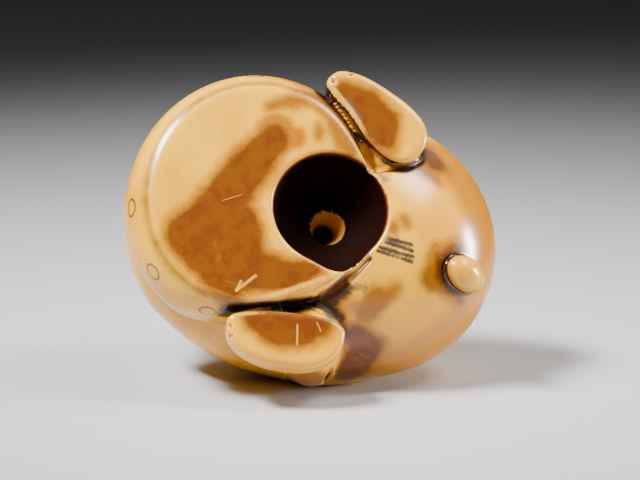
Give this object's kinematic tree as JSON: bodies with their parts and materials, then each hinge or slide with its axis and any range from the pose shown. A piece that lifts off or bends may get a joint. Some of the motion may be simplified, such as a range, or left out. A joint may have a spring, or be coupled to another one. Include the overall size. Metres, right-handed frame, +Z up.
{
  "type": "netsuke",
  "caption": "Small polished ivory toggle carved as a hare crouching on a low round pad, lying to show its flat underside, soles and wide cord hole.",
  "frame": {"origin": "middle of the bounding box on the surface that the carving lies on", "axes": "+Z up, -Y towards the side that shows the flat underside, +X towards the rump"},
  "size_m": [0.04, 0.0322, 0.0332],
  "materials": {
    "ivory": "polished ivory with a honey patina, cream on the high places and brown in the worn stains and carved lines"
  },
  "bodies": {
    "root": {"netsuke": "ivory"}
  },
  "joints": []
}
